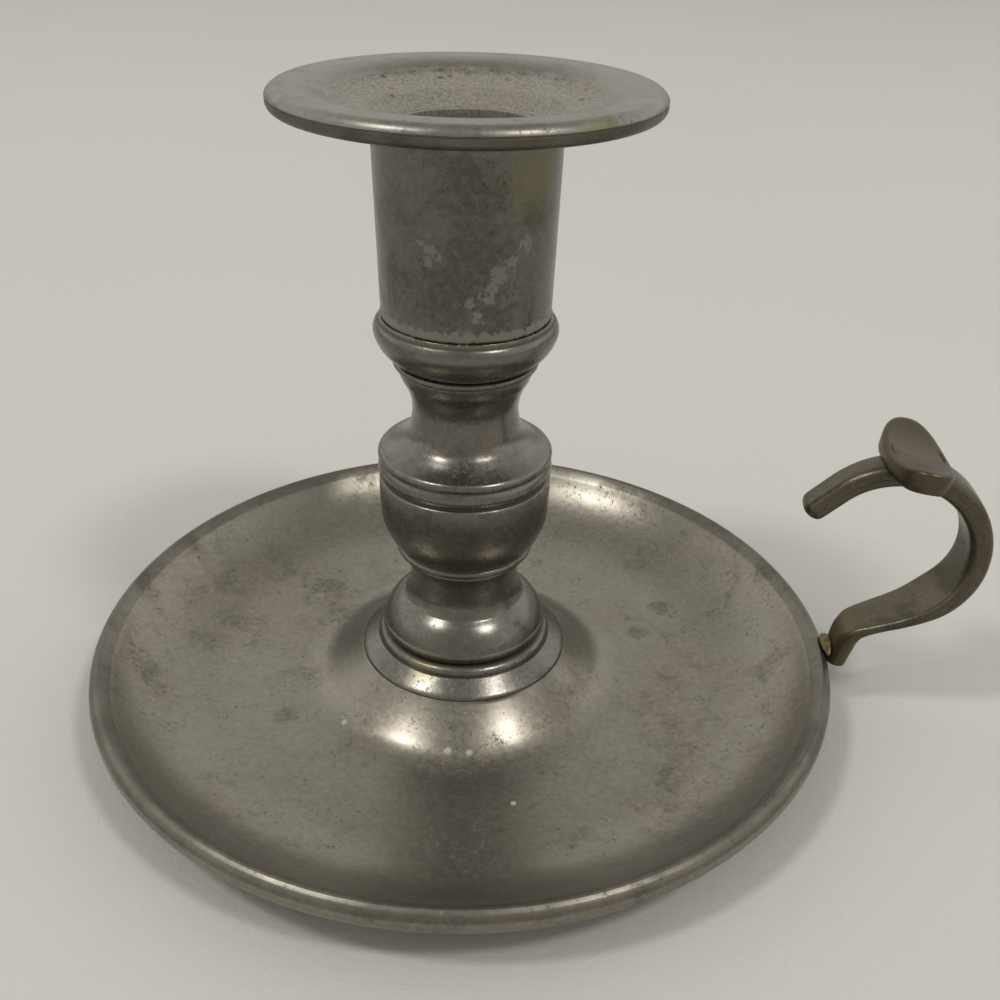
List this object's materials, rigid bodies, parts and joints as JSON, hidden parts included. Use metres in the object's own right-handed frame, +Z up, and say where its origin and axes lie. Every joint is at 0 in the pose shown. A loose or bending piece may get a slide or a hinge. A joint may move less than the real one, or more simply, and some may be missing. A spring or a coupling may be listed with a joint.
{
  "type": "chamberstick",
  "caption": "Chamberstick: dished drip pan with a turned baluster stem, a lift-out candle nozzle with a wide dished flange, and a finger-loop handle with an oval thumb rest.",
  "frame": {"origin": "centre of the pan's foot ring, on the surface it stands on", "axes": "+Z up the stem's axis, +X from the stem's axis towards the handle"},
  "size_m": [0.1646, 0.14, 0.1128],
  "materials": {
    "pan_pewter": "aged pewter, satin, mottled olive grey with fine pits and faint turning lines",
    "stem_pewter": "aged turned pewter, half polished, dark in the grooves",
    "cup_pewter": "aged pewter with pale flaky oxide patches",
    "nozzle_pewter": "aged pewter, satin, with a pale speckled crust in the dish",
    "handle_pewter": "aged pewter, satin, warm olive grey",
    "yellow_solder": "dull yellow solder"
  },
  "bodies": {
    "stick": {"drip_pan": "pan_pewter", "foot_collar": "stem_pewter", "foot_knop": "stem_pewter", "lower_vase": "stem_pewter", "mid_band": "stem_pewter", "upper_stem": "stem_pewter", "collar_ring": "stem_pewter", "candle_cup": "cup_pewter", "handle_strap": "handle_pewter", "thumb_rest": "handle_pewter", "handle_solder": "yellow_solder"},
    "nozzle": {"nozzle_flange": "nozzle_pewter", "nozzle_sleeve": "nozzle_pewter"}
  },
  "joints": [
    {"name": "nozzle_lift", "type": "slide", "parent": "stick", "child": "nozzle", "axis": [0, 0, 1], "range_m": [0, 0.03]}
  ]
}
